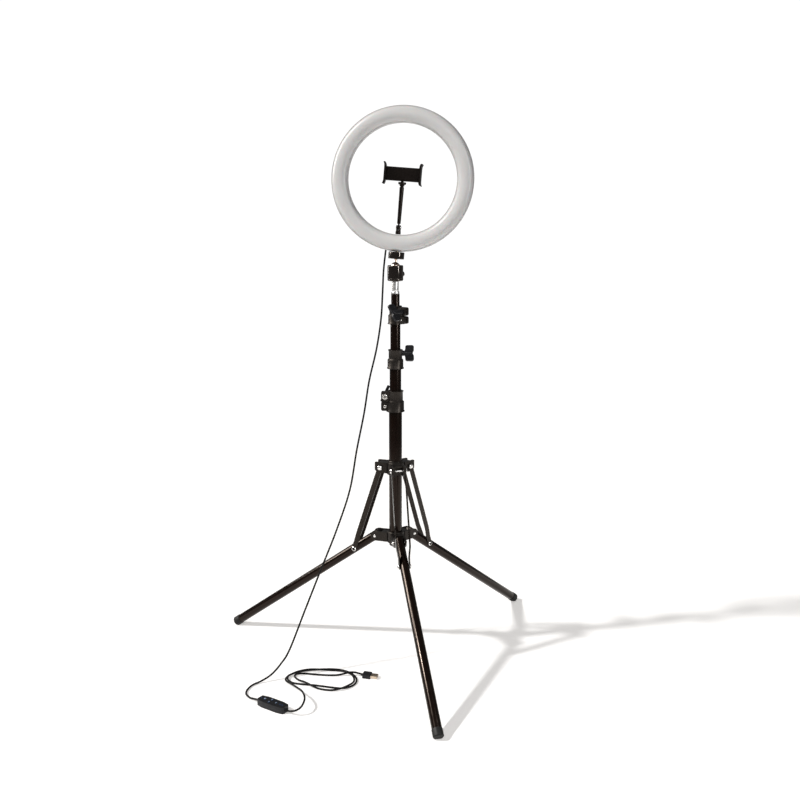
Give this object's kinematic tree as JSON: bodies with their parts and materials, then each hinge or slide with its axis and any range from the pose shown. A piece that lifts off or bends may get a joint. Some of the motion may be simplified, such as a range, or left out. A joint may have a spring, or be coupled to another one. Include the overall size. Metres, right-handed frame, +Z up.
{
  "type": "ring light on tripod stand",
  "caption": "Ring light on a folding three-legged telescopic stand, with a ball head, a sprung phone clip in the ring and a corded push-button dimmer.",
  "frame": {"origin": "on the floor, under the middle of the stand and lamp, the loose cord left out", "axes": "+Z up; the lamp shines towards -Y, a little to -X"},
  "size_m": [0.6188, 0.6012, 1.0515],
  "materials": {
    "black_paint": "satin",
    "dark_grey_plastic": "satin",
    "black_knob_plastic": "satin",
    "black_rubber": "matte",
    "chrome": "polished",
    "black_anodised": "gloss",
    "strut_steel": "satin",
    "white_shell": "satin",
    "frosted_diffuser": "satin",
    "led_board": "matte",
    "brass": "polished",
    "clip_plastic": "satin",
    "cord_pvc": "satin",
    "button_plastic": "satin",
    "plug_metal": "polished"
  },
  "bodies": {
    "base": {"outer_tube": "black_paint", "lower_spider": "dark_grey_plastic", "leg_pin_front": "chrome", "leg_pin_right": "chrome", "leg_pin_left": "chrome", "lower_collar": "dark_grey_plastic", "lower_collar_bolt": "chrome", "cord_upper": "cord_pvc", "cord_lower": "cord_pvc", "cord_tail": "cord_pvc", "cord_coil": "cord_pvc", "dimmer_base": "black_knob_plastic", "dimmer_cover": "black_knob_plastic", "usb_plug": "black_knob_plastic", "usb_shell": "plug_metal"},
    "lower_knob": {"lower_collar_knob": "black_knob_plastic"},
    "spider": {"upper_spider": "dark_grey_plastic", "strut_pin_front": "chrome", "strut_pin_right": "chrome", "strut_pin_left": "chrome"},
    "leg_front": {"leg_tube_front": "black_paint", "foot_cap_front": "black_rubber"},
    "strut_front": {"strut_a_front": "strut_steel", "strut_b_front": "strut_steel"},
    "leg_right": {"leg_tube_right": "black_paint", "foot_cap_right": "black_rubber"},
    "strut_right": {"strut_a_right": "strut_steel", "strut_b_right": "strut_steel"},
    "leg_left": {"leg_tube_left": "black_paint", "foot_cap_left": "black_rubber"},
    "strut_left": {"strut_a_left": "strut_steel", "strut_b_left": "strut_steel"},
    "second_stage": {"second_tube": "black_paint", "middle_collar": "dark_grey_plastic", "middle_collar_bolt": "chrome"},
    "middle_knob": {"middle_collar_knob": "black_knob_plastic"},
    "third_stage": {"third_tube": "black_paint", "upper_collar": "dark_grey_plastic", "upper_collar_bolt": "chrome"},
    "upper_knob": {"upper_collar_knob": "black_knob_plastic"},
    "top_stage": {"top_tube": "black_paint", "spigot": "chrome"},
    "head_housing": {"ball_housing": "black_anodised"},
    "lock_knob": {"ball_lock_knob": "black_anodised"},
    "head_ball": {"ball_stem": "chrome"},
    "ring": {"platform_disc": "black_anodised", "ring_socket": "brass", "ring_back_shell": "white_shell", "ring_led_board": "led_board", "ring_diffuser": "frosted_diffuser", "cord_gland": "black_rubber", "arm_knuckle": "clip_plastic"},
    "holder": {"holder_arm": "clip_plastic"},
    "clip_nut": {"clip_swivel": "clip_plastic"},
    "clip": {"clip_body": "clip_plastic"},
    "jaw": {"clip_jaw": "clip_plastic"},
    "power_button": {"button_power": "button_plastic"},
    "up_button": {"button_up": "button_plastic"},
    "down_button": {"button_down": "button_plastic"},
    "colour_button": {"button_colour": "button_plastic"}
  },
  "joints": [
    {"name": "spider_fold", "type": "slide", "parent": "base", "child": "spider", "axis": [0, 0, 1], "range_m": [0, 0.0952]},
    {"name": "leg_front_fold", "type": "hinge", "parent": "base", "child": "leg_front", "pos_m": [0.04366, 0.01629, 0.2344], "axis": [-0.9789, -0.2045, 0], "range_deg": [0, 120]},
    {"name": "leg_right_fold", "type": "hinge", "parent": "base", "child": "leg_right", "pos_m": [0.06481, 0.08062, 0.2344], "axis": [0.6665, -0.7455, 0], "range_deg": [0, 120]},
    {"name": "leg_left_fold", "type": "hinge", "parent": "base", "child": "leg_left", "pos_m": [-0.00148, 0.06677, 0.2344], "axis": [0.3123, 0.95, 0], "range_deg": [0, 120]},
    {"name": "strut_front_swing", "type": "hinge", "parent": "spider", "child": "strut_front", "pos_m": [0.04128, 0.02764, 0.3745], "axis": [0.9789, 0.2045, 0], "range_deg": [0, 12.8]},
    {"name": "strut_right_swing", "type": "hinge", "parent": "spider", "child": "strut_right", "pos_m": [0.05616, 0.07289, 0.3745], "axis": [-0.6665, 0.7455, 0], "range_deg": [0, 12.8]},
    {"name": "strut_left_swing", "type": "hinge", "parent": "spider", "child": "strut_left", "pos_m": [0.00954, 0.06315, 0.3745], "axis": [-0.3123, -0.95, 0], "range_deg": [0, 12.8]},
    {"name": "lower_knob_turn", "type": "hinge", "parent": "base", "child": "lower_knob", "pos_m": [0.01546, 0.05456, 0.515], "axis": [0, 1, 0], "range_deg": [0, 270]},
    {"name": "second_stage_slide", "type": "slide", "parent": "base", "child": "second_stage", "axis": [0, 0, 1], "range_m": [-0.042, 0.185], "deforming": ["cord_upper"]},
    {"name": "middle_knob_turn", "type": "hinge", "parent": "second_stage", "child": "middle_knob", "pos_m": [0.03566, 0.07476, 0.59505], "axis": [1, 0, 0], "range_deg": [0, 270]},
    {"name": "third_stage_slide", "type": "slide", "parent": "second_stage", "child": "third_stage", "axis": [0, 0, 1], "range_m": [-0.04, 0.19], "deforming": ["cord_upper"]},
    {"name": "upper_knob_turn", "type": "hinge", "parent": "third_stage", "child": "upper_knob", "pos_m": [0.05113, 0.04158, 0.67858], "axis": [-0.6428, -0.766, 0], "range_deg": [0, 270]},
    {"name": "top_stage_slide", "type": "slide", "parent": "third_stage", "child": "top_stage", "axis": [0, 0, 1], "range_m": [-0.022, 0.235], "deforming": ["cord_upper"]},
    {"name": "head_pan", "type": "hinge", "parent": "top_stage", "child": "head_housing", "pos_m": [0.03566, 0.05456, 0.7346], "axis": [0, 0, 1], "range_deg": [-90, 90], "deforming": ["cord_upper"]},
    {"name": "lock_knob_turn", "type": "hinge", "parent": "head_housing", "child": "lock_knob", "pos_m": [0.03566, 0.05456, 0.7464], "axis": [0.6428, 0.766, 0], "range_deg": [0, 270]},
    {"name": "head_nod", "type": "hinge", "parent": "head_housing", "child": "head_ball", "pos_m": [0.03566, 0.05456, 0.76], "axis": [1, 0, 0], "range_deg": [-35, 35], "deforming": ["cord_upper"]},
    {"name": "head_spin", "type": "hinge", "parent": "head_ball", "child": "ring", "pos_m": [0.03566, 0.05456, 0.76], "axis": [0.0836, 0.0523, 0.9951], "range_deg": [-90, 90], "deforming": ["cord_upper"]},
    {"name": "arm_tilt", "type": "hinge", "parent": "ring", "child": "holder", "pos_m": [0.0416, 0.05736, 0.83221], "axis": [0.9896, -0.1217, -0.0767], "range_deg": [-40, 40]},
    {"name": "clip_turn", "type": "hinge", "parent": "holder", "child": "clip_nut", "pos_m": [0.0485, 0.06168, 0.91431], "axis": [0.0836, 0.0523, 0.9951], "range_deg": [-180, 180]},
    {"name": "clip_nod", "type": "hinge", "parent": "clip_nut", "child": "clip", "pos_m": [0.0485, 0.06168, 0.91431], "axis": [0.9896, -0.1217, -0.0767], "range_deg": [-15, 15]},
    {"name": "jaw_slide", "type": "slide", "parent": "clip", "child": "jaw", "axis": [0.9896, -0.1217, -0.0767], "range_m": [0, 0.022], "stiffness_N_per_m": 150, "springref_m": -0.02},
    {"name": "power_press", "type": "slide", "parent": "base", "child": "power_button", "axis": [0, 0, -1], "range_m": [0, 0.0008], "stiffness_N_per_m": 400, "springref_m": -0.0005},
    {"name": "up_press", "type": "slide", "parent": "base", "child": "up_button", "axis": [0, 0, -1], "range_m": [0, 0.0008], "stiffness_N_per_m": 400, "springref_m": -0.0005},
    {"name": "down_press", "type": "slide", "parent": "base", "child": "down_button", "axis": [0, 0, -1], "range_m": [0, 0.0008], "stiffness_N_per_m": 400, "springref_m": -0.0005},
    {"name": "colour_press", "type": "slide", "parent": "base", "child": "colour_button", "axis": [0, 0, -1], "range_m": [0, 0.0008], "stiffness_N_per_m": 400, "springref_m": -0.0005}
  ],
  "couplings": [
    {"joint": "leg_front_fold", "follows": "spider_fold", "rad_per_m": 21.963},
    {"joint": "leg_right_fold", "follows": "spider_fold", "rad_per_m": 21.963},
    {"joint": "leg_left_fold", "follows": "spider_fold", "rad_per_m": 21.963},
    {"joint": "strut_front_swing", "follows": "spider_fold", "rad_per_m": 2.31},
    {"joint": "strut_right_swing", "follows": "spider_fold", "rad_per_m": 2.31},
    {"joint": "strut_left_swing", "follows": "spider_fold", "rad_per_m": 2.31}
  ]
}
